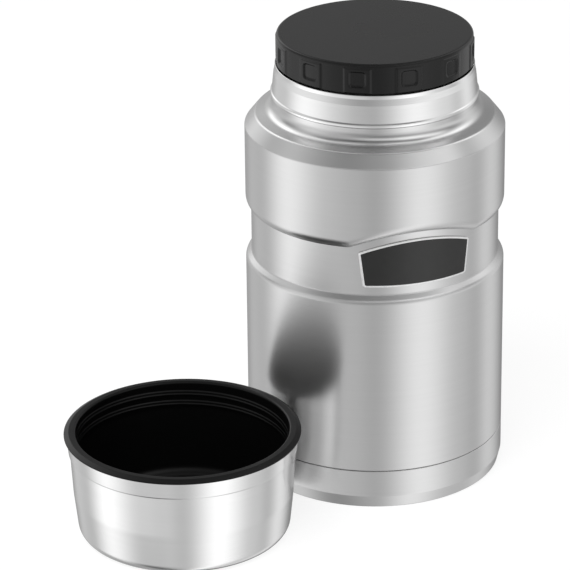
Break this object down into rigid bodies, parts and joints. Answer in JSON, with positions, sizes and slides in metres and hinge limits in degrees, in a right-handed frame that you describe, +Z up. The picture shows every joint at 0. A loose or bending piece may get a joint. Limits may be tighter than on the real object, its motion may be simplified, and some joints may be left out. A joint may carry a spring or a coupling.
{
  "type": "insulated food jar",
  "caption": "Double-walled steel food jar with a waist and an arched badge plate, a black screw stopper, and a steel bowl lid with a black liner taken off beside it.",
  "frame": {"origin": "centre of the jar's flat foot, on the surface it stands on", "axes": "+Z up along the jar's axis, -Y the way the badge faces, +X to the right seen from the badge; the bowl lid stands towards -X"},
  "size_m": [0.2004, 0.1416, 0.1918],
  "materials": {
    "brushed_body": "fine circumferential brush",
    "polished_steel": "satin, close to polished",
    "plain_steel": "plain rolled sheet",
    "foil": "bright copper-coloured foil",
    "sealing_bead": "dull grey sealing bead",
    "getter": "sintered grey tablet",
    "badge_metal": "satin metal border",
    "badge_black": "black enamel, bare",
    "adhesive": "white foam adhesive",
    "silicone": "matte dark silicone",
    "black_plastic": "fine spark-textured black moulding",
    "foam": "rigid foam, pale yellow",
    "bowl_steel": "bright circumferential brush",
    "liner_plastic": "semi-gloss black moulding"
  },
  "bodies": {
    "jar": {"outer_shell": "brushed_body", "neck_collar": "polished_steel", "inner_vessel": "polished_steel", "vessel_bottom": "polished_steel", "radiation_foil": "foil", "outer_bottom": "plain_steel", "vacuum_plug": "sealing_bead", "getter": "getter", "getter_clip": "plain_steel", "base_cup": "brushed_body", "badge_plate": "badge_metal", "badge_field": "badge_black", "badge_tape": "adhesive"},
    "stopper_seal": {"stopper_gasket": "silicone"},
    "stopper": {"stopper_cap": "black_plastic", "stopper_plug": "black_plastic", "stopper_foam": "foam"},
    "bowl": {"bowl_shell": "bowl_steel", "bowl_liner": "liner_plastic"}
  },
  "joints": [
    {"name": "stopper_lift", "type": "slide", "parent": "jar", "child": "stopper_seal", "axis": [0, 0, 1], "range_m": [0, 0.06]},
    {"name": "stopper_turn", "type": "hinge", "parent": "stopper_seal", "child": "stopper", "pos_m": [0, 0, 0.18], "axis": [0, 0, 1], "range_deg": [0, 450]},
    {"name": "bowl_lift", "type": "slide", "parent": "jar", "child": "bowl", "axis": [0, 0, 1], "range_m": [0, 0.2]}
  ]
}
